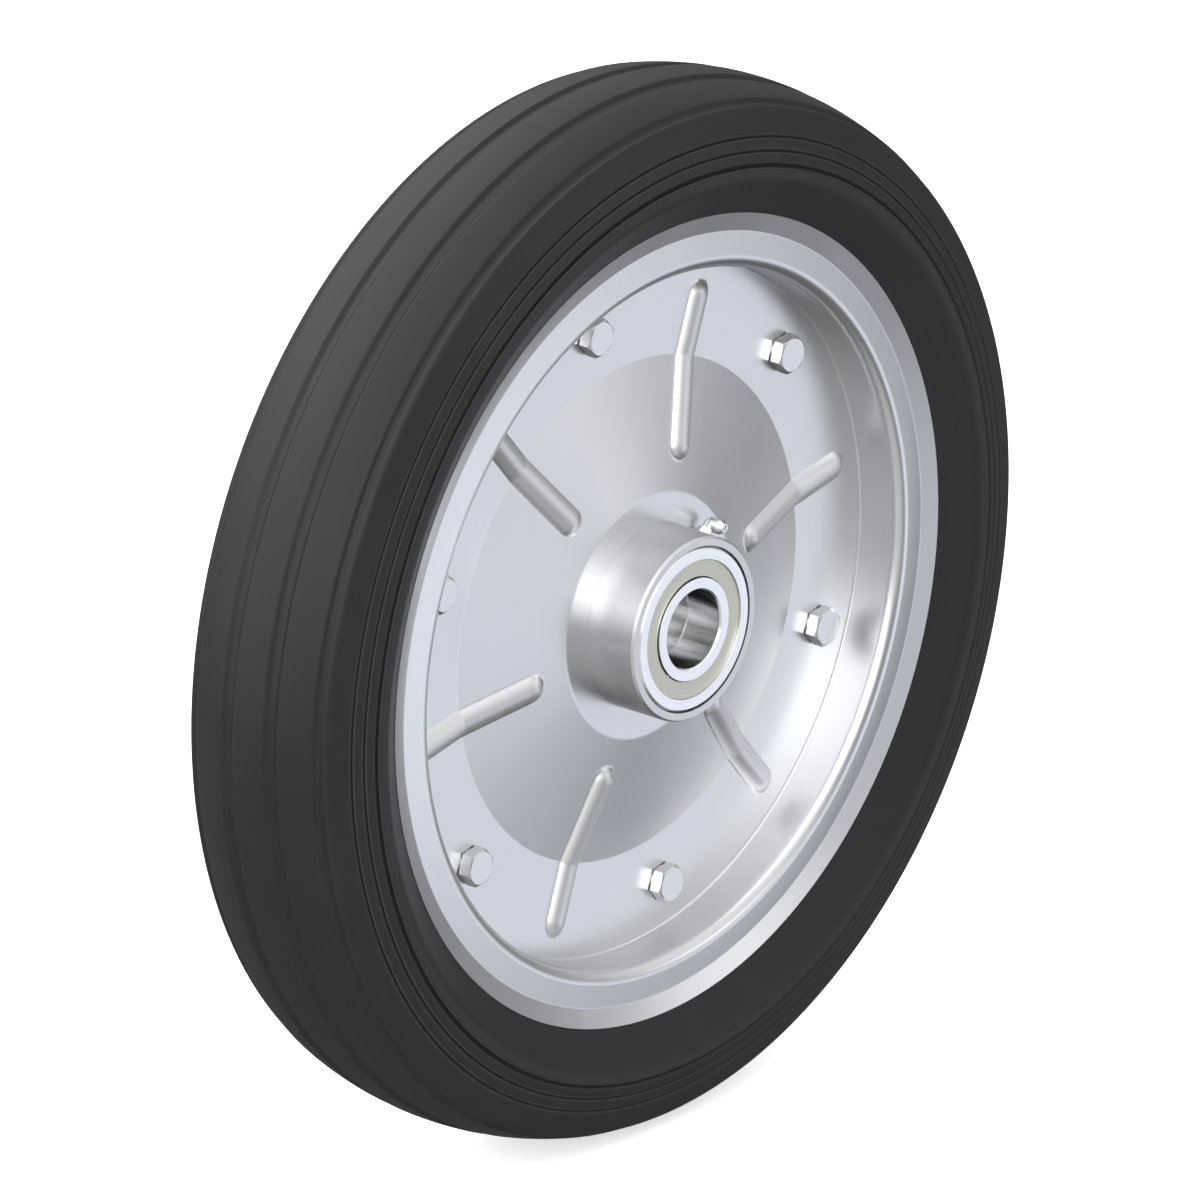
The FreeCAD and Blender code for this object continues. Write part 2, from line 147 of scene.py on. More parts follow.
def dress(slot, material):
    """Give a finish to every CAD piece of a slot of the record."""
    for name in pieces_by_slot[slot]:
        nodes[name].data.materials.clear()
        nodes[name].data.materials.append(material)
    print(material.name, "on", len(pieces_by_slot[slot]), "pieces")


print("every finish is built on the", SHADER, "shader")

# %% [markdown]
# The tyre's section is simple: a flat arc for the tread, a round shoulder, a sidewall that leans in, a round
# bulge, and a dish that runs down to the lip of the rim.
# The same outline is on both sides, so only half of it is worked out, as a line from the middle of the tread.
# X is the radius and Y the distance along the axle, in millimetres, and angles are measured from the radius.
# The shoulder touches both the tread and the sidewall, and the dish touches the bulge, so their places are
# worked out from the radii.

# %% The outline of the tyre
TREAD_RADIUS, CROWN, SHOULDER, BULGE = 200.0, 90.0, 7.0, 9.0
WALL_FACING = 70.0
crown_centre = Vector((TREAD_RADIUS - CROWN, 0))
bulge_centre = Vector((170.3, 31.5))
lip_foot = Vector((153.5, 31.6))


def facing(angle):
    """The unit vector of the section at an angle from the radius."""
    return Vector((math.cos(math.radians(angle)), math.sin(math.radians(angle))))


def arc(centre, radius, start, end):
    """A round part of the section, with a point at every degree or less."""
    steps = math.ceil(abs(end - start))
    return [centre + facing(start + (end - start) * step / steps) * radius for step in range(steps + 1)]


to_wall = bulge_centre + facing(WALL_FACING) * (BULGE - SHOULDER) - crown_centre
up_wall = facing(WALL_FACING - 90)
slack = (CROWN - SHOULDER) ** 2 - to_wall.length_squared
climb = math.sqrt(to_wall.dot(up_wall) ** 2 + slack) - to_wall.dot(up_wall)
to_shoulder = to_wall + up_wall * climb
crown_end = math.degrees(math.atan2(to_shoulder.y, to_shoulder.x))
to_bulge = bulge_centre - lip_foot
dish_angle = math.degrees(math.atan2(to_bulge.y, to_bulge.x) + math.asin(BULGE / to_bulge.length))
outline = arc(crown_centre, CROWN, 0, crown_end)
outline += arc(crown_centre + to_shoulder, SHOULDER, crown_end, WALL_FACING)
wall_end = len(outline)
outline += arc(bulge_centre, BULGE, WALL_FACING, dish_angle + 90)
outline.append(lip_foot)
travelled = [0.0]
for start, end in zip(outline, outline[1:]):
    travelled.append(travelled[-1] + (end - start).length)
wall_foot = travelled[wall_end]
print("from the middle of the tread to the lip the outline is", round(travelled[-1], 1), "mm long")

# %% [markdown]
# The mould leaves grooves in the tread and three fine lines round each sidewall, so each is a depth below the
# outline at a distance along it.
# All four tread grooves have soft edges, and the inner two have a wider ground than the outer two.
# A sidewall line is a narrow V whose side towards the rim is broken by a small slope, and the line nearest to
# the rim is the widest.
# Each point of that slope also keeps a share from 0 to 1 of a painted highlight: a lighter grey that stands
# in for the light the slope catches.

# %% Grooves and lines
INNER_GROOVE = {"half_floor": 1.2, "wall": 2.2, "depth": 1.4}
OUTER_GROOVE = {"half_floor": 0.4, "wall": 2.4, "depth": 1.3}
INNER_OFFSET, OUTER_OFFSET = 10.2, 29.6
WALL_STEPS = 8
FINE_LINE = {"half_width": 0.6, "depth": 1.3, "slope_depth": 0.35, "slope_end": 1.2}
FIRST_LINE = {"half_width": 0.9, "depth": 2.0, "slope_depth": 0.4, "slope_end": 1.5}
LINE_COUNT, LINE_PITCH = 3, 5.3
LINE_STOPS = (-1, -0.5, 0, 0.5, 0.75, 0.85, 1)


def groove(aside, half_floor, wall, depth):
    """How deep a tread groove is at a distance from its middle; its edges get no painted highlight."""
    share = min(max((half_floor + wall - abs(aside)) / wall, 0), 1)
    return depth * share ** 2 * (3 - 2 * share), 0.0


def sidewall_line(aside, half_width, depth, slope_depth, slope_end):
    """How deep a sidewall line is at a distance from its middle, counted towards the rim, and its share of
    painted highlight.
    """
    narrow = depth * max(1 - abs(aside) / half_width, 0)
    share = max(1 - aside / slope_end, 0) if aside > 0 else 0
    return max((narrow, 0.0), (slope_depth * share, share))


marks = []
for offset, shape in ((INNER_OFFSET, INNER_GROOVE), (OUTER_OFFSET, OUTER_GROOVE)):
    edges = [shape["half_floor"] + shape["wall"] * step / WALL_STEPS for step in range(WALL_STEPS + 1)]
    asides = [-edge for edge in edges] + [0.0] + edges
    marks.append((CROWN * math.asin(offset / CROWN), groove, shape, asides))
for index in range(LINE_COUNT):
    shape = FINE_LINE if index else FIRST_LINE
    asides = [shape["half_width"] * share for share in LINE_STOPS]
    asides += [(shape["half_width"] + shape["slope_end"]) / 2, shape["slope_end"]]
    marks.append((wall_foot - index * LINE_PITCH, sidewall_line, shape, asides))
print(len(marks), "grooves and lines on each side")

# %% [markdown]
# A section becomes a solid by turning it round the axle: every point of it makes a ring.
# One function makes the skin over such rings, because the tyre and the rim halves are all made this way.
# Flat faces beside tight bends shade cleanly only when the larger faces decide the normals,
# which is what the weighted normal modifier does.

# %% A skin over rings of points


def round_axle(place, angle):
    """A point of a section, turned to an angle clockwise from the top, in metres."""
    return (place.x * math.sin(angle) * MM, place.y * MM, place.x * math.cos(angle) * MM)


def skin(name, rings, side):
    """A closed skin over rings of points; side is 1 where they run outwards on the rear, and else -1."""
    columns = len(rings[0])
    quads = []
    for ring in range(len(rings)):
        here = ring * columns
        following = (ring + 1) % len(rings) * columns
        for column in range(columns):
            beyond = (column + 1) % columns
            quads.append((here + column, following + column, following + beyond, here + beyond)[::side])
    mesh = bpy.data.meshes.new(name)
    mesh.from_pydata([point for ring in rings for point in ring], [], quads)
    mesh.shade_smooth()
    piece = bpy.data.objects.new(name, mesh)
    bpy.context.scene.collection.objects.link(piece)
    piece.modifiers.new("large_faces_lead", "WEIGHTED_NORMAL")
    print(name, "has", len(quads), "faces")
    return piece


print("the tyre's highest point lies at", round_axle(outline[0], 0), "m")

# %% [markdown]
# The outline is walked in steps, short ones in the grooves and longer ones between them, and every step is
# pushed in by the depth there.
# The hidden seat on the rim closes the section, and the section is turned round the axle.

# %% Mould the tyre
PLAIN_STEP = 0.9
CLEARANCE = PLAIN_STEP / 3
TYRE_COLUMNS = 288
SEAT = [(149.9, 29.6), (146.3, 27.8), (136.2, 30.2)]


def moulded_point(distance):
    """The point of the outline at a distance along it, pushed in by the marks, and its share of painted
    highlight.
    """
    after = next(index for index, length in enumerate(travelled) if length >= distance and index)
    start, end = outline[after - 1], outline[after]
    run = end - start
    share = (distance - travelled[after - 1]) / run.length
    inward = Vector((-run.y, run.x)).normalized()
    depth, rub = max(function(distance - middle, **shape) for middle, function, shape, asides in marks)
    return start + run * share + inward * depth, rub


stops = set(step * PLAIN_STEP for step in range(int(travelled[-1] / PLAIN_STEP)))
stops.add(travelled[-1])
for middle, function, shape, asides in marks:
    first = middle + min(asides) - CLEARANCE
    last = middle + max(asides) + CLEARANCE
    stops = {stop for stop in stops if not first < stop < last}
    stops |= {middle + aside for aside in asides}
half_section = [moulded_point(stop) for stop in sorted(stops)]
half_section += [(Vector(corner), 0.0) for corner in SEAT]
section = half_section + [(Vector((place.x, -place.y)), rub) for place, rub in half_section[:0:-1]]
angles = [math.tau * column / TYRE_COLUMNS for column in range(TYRE_COLUMNS)]
tyre = skin("moulded_tyre", [[round_axle(place, angle) for angle in angles] for place, rub in section], -1)
# Each point keeps its share of the painted highlight on the sidewall line slopes.
rubbed = tyre.data.attributes.new("rubbed", "FLOAT", "POINT")
rubbed.data.foreach_set("value", [rub for place, rub in section for angle in angles])
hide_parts("tyre")
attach(tyre, "wheel")

# %% [markdown]
# The tyre is solid black rubber, moulded in a polished steel mould.
# It gives the eye a satin black: dark, with a broad soft sheen, a faint cloudy bloom and a fine grain.
# The bloom is wax that comes out of the rubber, and it dulls the mirror, so the specular level is low.
# Two noise patterns do this, one about 25 mm wide for the bloom and one under a millimetre for the grain.
# On the slopes of the sidewall lines the black turns to grey, a painted highlight for the light those slopes
# catch.

# %% Black moulded rubber
BLOOM_SIZE, GRAIN_SIZE, GRAIN_DEPTH = 25, 0.7, 0.03
rubber, place = new_finish("black_moulded_rubber", Specular_IOR_Level=0.2)
bloom = add_node(
    rubber, "ShaderNodeTexNoise",
    {"Vector": place, "Scale": per_metre(BLOOM_SIZE), "Detail": 4.0}).outputs["Fac"]
grain = add_node(
    rubber, "ShaderNodeTexNoise",
    {"Vector": place, "Scale": per_metre(GRAIN_SIZE), "Detail": 2.0}).outputs["Fac"]
relief = add_node(rubber, "ShaderNodeBump", {"Height": grain, "Distance": GRAIN_DEPTH * MM})
rub = add_node(rubber, "ShaderNodeAttribute", attribute_name="rubbed").outputs["Fac"]
black = between(rubber, bloom, "#1C1C1E", "#212123")
# The grey #3C3D3F on the sidewall line slopes is a painted highlight, mixed in by each point's share.
tone = add_node(
    rubber, "ShaderNodeMix",
    {"Factor": rub, "A": black, "B": linear("#3C3D3F")}, data_type="RGBA")
wire(
    rubber, Base_Color=tone.outputs["Result"],
    Roughness=between(rubber, bloom, 0.39, 0.46), Normal=relief.outputs["Normal"])
tyre.data.materials.append(rubber)
print(rubber.name, "on the tyre")

# %% [markdown]
# A rim half is pressed from one round blank of 4 mm sheet: a flat round the hub, a shallow cone, the bolt
# flat, a straight well wall and a rolled lip.
# Every line of light on bright plating follows these bends, so the sheet is drawn here again as one clean
# grid, finer than the CAD model's triangles.
# Three small functions draw a section of sheet: one bends the corners of a line to the radius of the press
# tool, one finds the other side of the sheet, and one puts more points on the long runs, where ribs stand.

# %% Lines of bent sheet
BEND_STEPS = 8
LONG_RUN = 15.0


def bent_line(corners, radii):
    """A line through the corners, with each inner corner bent to its radius."""
    line = [corners[0]]
    for before, corner, after, radius in zip(corners, corners[1:], corners[2:], radii):
        back = (before - corner).normalized()
        ahead = (after - corner).normalized()
        half_angle = back.angle(ahead) / 2
        centre = corner + (back + ahead).normalized() * (radius / math.sin(half_angle))
        start = corner + back * (radius / math.tan(half_angle)) - centre
        end = corner + ahead * (radius / math.tan(half_angle)) - centre
        for step in range(BEND_STEPS + 1):
            line.append(centre + start.lerp(end, step / BEND_STEPS).normalized() * radius)
    line.append(corners[-1])
    return line


def beside(corners, distance):
    """The corners of a line that runs beside another, nearer to the tyre."""
    sides = []
    for start, end in zip(corners, corners[1:]):
        run = (end - start).normalized()
        sides.append(Vector((run.y, -run.x)))
    result = [corners[0] + sides[0] * distance]
    for before, after, corner in zip(sides, sides[1:], corners[1:]):
        both = before + after
        result.append(corner + both * (2 * distance / both.length_squared))
    result.append(corners[-1] + sides[-1] * distance)
    return result


def divided(line, step):
    """A line with more points on its long runs."""
    fine = [line[0]]
    for start, end in zip(line, line[1:]):
        reach = abs(end.x - start.x)
        parts = math.ceil(reach / step) if reach > LONG_RUN else 1
        fine += [start.lerp(end, part / parts) for part in range(1, parts + 1)]
    return fine


print("every bend is drawn with", BEND_STEPS + 1, "points")

# %% [markdown]
# Now the section itself: corners joined by straight runs, on the face and on the back of the sheet.
# In the section X is the radius and Y the distance along the axle, in millimetres.
# The inner side of a bend is tighter than its outer side, so the face and the back have radii of their own,
# and the two cut edges are only just broken.

# %% The section of the pressed sheet
SHEET = 4.0
EDGE_BREAK = 0.05
FACE_STEP, BACK_STEP = 1.0, 3.0
hub_edge = Vector((35.0, 23.3))
hub_corner = Vector((46.5, 23.3))
disc_bend = Vector((95.7, 12.6))
well_foot = Vector((132.2, 12.6))
well_top = Vector((132.2, 32.2))
lip_bend = Vector((146.3, 29.8))
lip_edge = Vector((153.5, 31.9))
face = [hub_edge, hub_corner, disc_bend, well_foot, well_top, lip_bend, lip_edge]
face_bends = [6.0, 2.0, 0.9, 4.6, 0.8]
back_bends = [2.0, 6.0, 4.9, 0.6, 4.8]
back = beside(face, SHEET)
back[0].x = hub_edge.x
bore_middle = (face[0] + back[0]) / 2
edge_middle = (face[-1] + back[-1]) / 2
face_line = bent_line([bore_middle] + face + [edge_middle], [EDGE_BREAK] + face_bends + [EDGE_BREAK])
back_radii = [EDGE_BREAK] + back_bends[::-1] + [EDGE_BREAK]
back_line = bent_line([edge_middle] + back[::-1] + [bore_middle], back_radii)
face_line = divided(face_line, FACE_STEP)
back_line = divided(back_line, BACK_STEP)
print("the section has", len(face_line), "points on the face and", len(back_line), "on the back")

# %% [markdown]
# Six ribs are stamped out of the disc to stiffen it, and each is hollow behind.
# A rib is a round bead that follows the bend of the disc: seen as heights over the sheet, it is the top of
# two cylinders joined by a ball, with a ball at each end.
# Where a bead meets the sheet the steel can't make a knife-sharp corner, so the two heights blend over a
# third of a millimetre.

# %% The height of a stamped rib
RIB_WIDTH, RIB_HEIGHT = 10.6, 3.0
HOLLOW_WIDTH, HOLLOW_DEPTH = 7.6, 2.4
RIB_FOOT = 0.35
RIB_FROM_HUB = 17.2
RIB_END = 118.0


def bead_radius(width, height):
    """The radius of a round bead from its width and its height over the sheet."""
    return (width ** 2 / 4 + height ** 2) / (2 * height)


def bead_top(spine, radius, along, aside):
    """How high a bead round a bent spine reaches, at a distance along the rib and aside of its middle."""
    tops = [-math.inf]
    for centre in spine:
        inside = radius ** 2 - aside ** 2 - (along - centre.x) ** 2
        if inside > 0:
            tops.append(centre.y + math.sqrt(inside))
    if abs(aside) < radius:
        for start, end in zip(spine, spine[1:]):
            run = (end - start).normalized()
            crest = start + Vector((-run.y, run.x)) * math.sqrt(radius ** 2 - aside ** 2)
            share = (along - crest.x) / (end.x - start.x)
            if 0 <= share <= 1:
                tops.append(crest.y + (end.y - start.y) * share)
    return max(tops)


def blended(low, high):
    """The higher of two heights, with a small fillet where they meet."""
    overlap = max(RIB_FOOT - abs(low - high), 0)
    return max(low, high) + overlap ** 2 / (4 * RIB_FOOT)


rib_start = hub_corner + (disc_bend - hub_corner).normalized() * RIB_FROM_HUB
rib_path = [rib_start, disc_bend, Vector((RIB_END, disc_bend.y))]
rib_radius = bead_radius(RIB_WIDTH, RIB_HEIGHT)
hollow_radius = bead_radius(HOLLOW_WIDTH, HOLLOW_DEPTH)
rib_spine = beside(rib_path, rib_radius - RIB_HEIGHT)
hollow_spine = beside(rib_path, SHEET + hollow_radius - HOLLOW_DEPTH)
print("a rib's round top has a radius of", round(rib_radius, 2), "mm")

# %% [markdown]
# The section now goes round the axle. Near each rib the columns of the grid run parallel to it, 0.4 mm apart,
# so that its sides come out straight; between the ribs they spread out evenly.
# The front and the rear half come from the same press tool, so one function draws both.
# The bolt holes lie under the bolt heads, the washers and the distance sleeves, and aren't drawn.
# The press stretches the sheet where a rib rises and where it draws the well wall, and stretched steel turns
# matt, so each point also keeps how far it was stretched, from 0 on the plain sheet to 1 on a rib.

# %% Press the two rim halves
RIB_COUNT = 6
FIRST_RIB_CLOCK = 20.0
RIB_ZONE = 6.4
RIB_COLUMNS = 33
PLAIN_COLUMNS = 22
FULL_STRETCH = 1.2
WALL_STRETCH = 0.6
WALL_TOLERANCE = 0.1


def column_angles(radius):
    """The angles of one sixth of a ring, from the middle of a rib."""
    edge = math.asin(RIB_ZONE / radius)
    shares = [2 * column / (RIB_COLUMNS - 1) - 1 for column in range(RIB_COLUMNS)]
    near = [math.asin(RIB_ZONE * share / radius) for share in shares]
    gap = math.tau / RIB_COUNT - 2 * edge
    return near + [edge + gap * (column + 1) / (PLAIN_COLUMNS + 1) for column in range(PLAIN_COLUMNS)]


def ring_points(place, spine, radius, side):
    """One ring of the sheet with its six ribs: points in metres, and how far each was stretched."""
    angles = column_angles(place.x)
    heights = []
    for angle in angles:
        top = bead_top(spine, radius, place.x * math.cos(angle), place.x * math.sin(angle))
        heights.append(blended(place.y, top))
    points = []
    for rib in range(RIB_COUNT):
        clock = math.radians(FIRST_RIB_CLOCK) + rib * math.tau / RIB_COUNT
        for angle, height in zip(angles, heights):
            points.append(round_axle(Vector((place.x, side * height)), clock + angle))
    wall = WALL_STRETCH if abs(place.x - well_foot.x) < WALL_TOLERANCE else 0
    stretch = [max(min((height - place.y) / FULL_STRETCH, 1), wall) for height in heights]
    return points, stretch * RIB_COUNT


def press_rim(name, side):
    """A pressed rim half; side is 1 for the rear half and -1 for the front."""
    rings = [ring_points(place, rib_spine, rib_radius, side) for place in face_line[:-1]]
    rings += [ring_points(place, hollow_spine, hollow_radius, side) for place in back_line[:-1]]
    rim = skin(name, [points for points, stretch in rings], side)
    stretched = rim.data.attributes.new("stretched", "FLOAT", "POINT")
    stretched.data.foreach_set("value", [share for points, stretch in rings for share in stretch])
    return rim


rims = {"front_rim": press_rim("front_pressed_rim", -1), "rear_rim": press_rim("rear_pressed_rim", 1)}
for node, rim in rims.items():
    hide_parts(node)
    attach(rim, "wheel")

# %% [markdown]
# The pressed sheet is bright zinc plated: after pressing it is pickled and hung in an electroplating bath.
# Zinc gives the eye a light, faintly blue silver that mirrors softly, with pale clouds where the plating is
# thicker and a slight waviness left by the press.
# On the stretched ribs and the well wall the mirror turns to satin.
# Metal takes its colour from its reflections, so the tone stays near white and the roughness does the work.

# %% Bright zinc plated sheet
CLOUD_SIZE, WAVE_SIZE, WAVE_DEPTH = 30, 18, 0.006
zinc, place = new_finish("bright_zinc_plated_sheet", Metallic=1.0)
cloud = add_node(
    zinc, "ShaderNodeTexNoise",
    {"Vector": place, "Scale": per_metre(CLOUD_SIZE), "Detail": 3.0}).outputs["Fac"]
wave = add_node(
    zinc, "ShaderNodeTexNoise",
    {"Vector": place, "Scale": per_metre(WAVE_SIZE), "Detail": 0.0}).outputs["Fac"]
stretch = add_node(zinc, "ShaderNodeAttribute", attribute_name="stretched").outputs["Fac"]
mirror = between(zinc, cloud, 0.28, 0.33)
satin = add_node(zinc, "ShaderNodeMath", {0: mirror, 1: between(zinc, stretch, 0.0, 0.15)})
relief = add_node(zinc, "ShaderNodeBump", {"Height": wave, "Distance": WAVE_DEPTH * MM})
wire(
    zinc, Base_Color=between(zinc, cloud, "#D6D7D9", "#DDDEE0"),
    Roughness=satin.outputs["Value"], Normal=relief.outputs["Normal"])
for rim in rims.values():
    rim.data.materials.append(zinc)
print(zinc.name, "on", len(rims), "rim halves")

# %% [markdown]
# The hub tube is turned on a lathe before it is plated, and the cutter leaves a fine screw line round it.
# The line itself, 0.2 mm apart, is too fine to draw, so it is drawn coarser, 0.9 mm apart and very shallow.
# It gives the eye a plated tube whose highlights are drawn out along the tube.
# The weld that joins it to the front disc is out of sight between the discs and has the same plating.
# At a scale of 1 the wave texture repeats every tenth of pi metres, so its scale follows from the pitch.

# %% Zinc plated turned tube
TURNING_PITCH, TURNING_DEPTH, HAZE_SIZE = 0.9, 0.004, 14
WAVE_PERIOD = math.pi / 10
turned, place = new_finish("zinc_plated_turned_tube", Metallic=1.0, Anisotropic=0.3)
lines = add_node(
    turned, "ShaderNodeTexWave",
    {"Vector": place, "Scale": WAVE_PERIOD * per_metre(TURNING_PITCH), "Distortion": 1.0},
    bands_direction="Y").outputs["Fac"]
haze = add_node(
    turned, "ShaderNodeTexNoise",
    {"Vector": place, "Scale": per_metre(HAZE_SIZE), "Detail": 3.0}).outputs["Fac"]
relief = add_node(turned, "ShaderNodeBump", {"Height": lines, "Distance": TURNING_DEPTH * MM})
wire(
    turned, Base_Color=between(turned, haze, "#D2D2D4", "#D9D9DB"),
    Roughness=between(turned, haze, 0.32, 0.38), Normal=relief.outputs["Normal"])
dress("zinc_plated_hub", turned)

# %% [markdown]
# Bolts, nuts, washers and the grease nipple are cold formed and barrel plated: they tumble together in the
# bath.
# That gives the eye brighter zinc than on the sheet, with small soft dents about 2 mm apart on every face.

# %% Barrel plated fasteners
DENT_SIZE, DENT_DEPTH = 2, 0.01
barrel, place = new_finish("barrel_plated_zinc", Metallic=1.0)
dents = add_node(
    barrel, "ShaderNodeTexNoise",
    {"Vector": place, "Scale": per_metre(DENT_SIZE), "Detail": 2.0}).outputs["Fac"]
relief = add_node(barrel, "ShaderNodeBump", {"Height": dents, "Distance": DENT_DEPTH * MM})
wire(
    barrel, Base_Color=between(barrel, dents, "#D6D7DA", "#DFE0E2"),
    Roughness=between(barrel, dents, 0.20, 0.26), Normal=relief.outputs["Normal"])
dress("zinc_plated_fasteners", barrel)

# %% [markdown]
# Bearing rings are hardened chrome steel, ground on every face and the brightest metal on the wheel.
# The side faces are ground in circles, so their marks are rings round the axle, and the bore shows long
# streaks along the axle where it was honed.
# The direction of the surface tells the two apart: a face that looks along the axle gets rings, the rest
# gets streaks.
# Grinding marks are a few hundredths of a millimetre, so they are drawn coarser, 0.5 mm and 1.6 mm wide.

# %% Ground bearing steel
RING_SIZE, STREAK_SIZE = 0.5, 1.6
ACROSS_AXLE = (1, 0, 1)
ground, place = new_finish("ground_chrome_steel", Metallic=1.0)
flat = add_node(
    ground, "ShaderNodeVectorMath", {0: place, 1: ACROSS_AXLE}, operation="MULTIPLY").outputs["Vector"]
radius = add_node(ground, "ShaderNodeVectorMath", {0: flat}, operation="LENGTH").outputs["Value"]
circles = add_node(
    ground, "ShaderNodeTexNoise",
    {"W": radius, "Scale": per_metre(RING_SIZE), "Detail": 1.0}, noise_dimensions="1D").outputs["Fac"]
streaks = add_node(
    ground, "ShaderNodeTexNoise",
    {"Vector": flat, "Scale": per_metre(STREAK_SIZE), "Detail": 2.0}).outputs["Fac"]
normal = add_node(ground, "ShaderNodeNewGeometry").outputs["Normal"]
lean = add_node(ground, "ShaderNodeSeparateXYZ", {"Vector": normal}).outputs["Y"]
along = add_node(ground, "ShaderNodeMath", {0: lean}, operation="ABSOLUTE").outputs["Value"]
grinding = add_node(
    ground, "ShaderNodeMix",
    {"Factor": along, "A": streaks, "B": circles}, data_type="FLOAT").outputs["Result"]
wire(
    ground, Base_Color=between(ground, grinding, "#E4E5E8", "#F8F9FB"),
    Roughness=between(ground, grinding, 0.12, 0.22))
dress("ground_bearing_steel", ground)

# %% [markdown]
# Each bearing is closed by a thin pressed shield with a passivated zinc coat.
# Passivation gives the eye a matt, faintly yellow grey beside the bright rings.
# Its faint pattern is rings too, because the shield is spun flat.

# %% Passivated bearing shield
SPUN_SIZE = 0.8
passivated, place = new_finish("passivated_shield_steel", Metallic=1.0)
flat = add_node(
    passivated, "ShaderNodeVectorMath", {0: place, 1: ACROSS_AXLE}, operation="MULTIPLY").outputs["Vector"]
radius = add_node(passivated, "ShaderNodeVectorMath", {0: flat}, operation="LENGTH").outputs["Value"]
spun = add_node(
    passivated, "ShaderNodeTexNoise",
    {"W": radius, "Scale": per_metre(SPUN_SIZE), "Detail": 2.0}, noise_dimensions="1D").outputs["Fac"]
wire(
    passivated, Base_Color=between(passivated, spun, "#D3D3C8", "#DCDCD2"),
    Roughness=between(passivated, spun, 0.46, 0.56))
dress("shield_steel", passivated)

# %% [markdown]
# The spacer between the inner rings is plain drawn steel tube.
# Drawing through a die leaves long scratches along the tube, which give the eye grey steel with soft streaks
# inside the bore.
# Squeezing the pattern's place along the axle stretches its marks into scratches.

# %% Drawn steel tube
SCRATCH_SIZE, SCRATCH_DEPTH = 2.5, 0.006
LONG_ALONG_AXLE = (1, 0.03, 1)
drawn, place = new_finish("drawn_steel_tube", Metallic=1.0)
squeezed = add_node(
    drawn, "ShaderNodeVectorMath", {0: place, 1: LONG_ALONG_AXLE}, operation="MULTIPLY").outputs["Vector"]
scratches = add_node(
    drawn, "ShaderNodeTexNoise",
    {"Vector": squeezed, "Scale": per_metre(SCRATCH_SIZE), "Detail": 3.0}).outputs["Fac"]
relief = add_node(drawn, "ShaderNodeBump", {"Height": scratches, "Distance": SCRATCH_DEPTH * MM})
wire(
    drawn, Base_Color=between(drawn, scratches, "#BEBEBE", "#E8E8E8"),
    Roughness=between(drawn, scratches, 0.10, 0.22), Normal=relief.outputs["Normal"])
dress("bare_steel", drawn)

# %% [markdown]
# The cage that spaces the balls is injection moulded polyamide in its natural cream colour.
# It gives the eye a slightly milky plastic with a fine mould texture.

# %% Natural polyamide
SPARK_SIZE, SPARK_DEPTH = 0.4, 0.01
polyamide, place = new_finish("natural_polyamide", IOR=1.53)
spark = add_node(
    polyamide, "ShaderNodeTexNoise",
    {"Vector": place, "Scale": per_metre(SPARK_SIZE), "Detail": 2.0}).outputs["Fac"]
relief = add_node(polyamide, "ShaderNodeBump", {"Height": spark, "Distance": SPARK_DEPTH * MM})
wire(
    polyamide, Base_Color=between(polyamide, spark, "#DCD6C4", "#E4DFCF"),
    Roughness=between(polyamide, spark, 0.42, 0.52), Normal=relief.outputs["Normal"])
dress("cage_polyamide", polyamide)

# %% [markdown]
# The wheel stands on a sheet of white paper that runs out of view.
# The paper glows a little, so that it stays white under the soft light, and the plating doesn't mirror it:
# a product photographer keeps the table out of the reflections in the same way, with a black or white card.

# %% Floor
WHITE = "#FFFFFF"
FLOOR_REACH = 6.0
PAPER_GLOW = 0.6
FIBRE_SIZE = 3
floor_level = cad_box[0][2]
floor_mesh = bpy.data.meshes.new("floor")
around = ((-1, -1), (1, -1), (1, 1), (-1, 1))
corners = [(FLOOR_REACH * x, FLOOR_REACH * y, floor_level) for x, y in around]
floor_mesh.from_pydata(corners, [], [(0, 1, 2, 3)])
floor = bpy.data.objects.new("floor", floor_mesh)
bpy.context.scene.collection.objects.link(floor)
floor.visible_glossy = False
paper, place = new_finish(
    "white_background_paper", Emission_Color=linear(WHITE), Emission_Strength=PAPER_GLOW)
fibres = add_node(
    paper, "ShaderNodeTexNoise",
    {"Vector": place, "Scale": per_metre(FIBRE_SIZE), "Detail": 3.0}).outputs["Fac"]
wire(
    paper, Base_Color=between(paper, fibres, "#F3F3F3", "#F5F5F5"),
    Roughness=between(paper, fibres, 0.85, 0.95))
floor_mesh.materials.append(paper)
print("the floor lies at", round(floor_level, 4), "m")

# %% [markdown]
# Bright plating shows whatever stands round it, so the studio is a dome of soft panels.
# Each panel is a round glow on the world: its azimuth right of the front, its elevation, the size of its even
# core and of its soft edge, all in degrees, then how bright it is, and its tint.
# The disc mirrors the low panels on the right, which are faintly blue, and the hub and the well wall mirror
# the white panels on the left.
# The panels at the rear light the tread and the back of the wheel.

# %% Soft panels


def towards(azimuth, elevation):
    """The unit vector to a place in the studio, from its azimuth right of the front and its elevation."""
    around = math.radians(azimuth)
    rise = math.radians(elevation)
    return Vector((math.sin(around) * math.cos(rise), -math.cos(around) * math.cos(rise), math.sin(rise)))


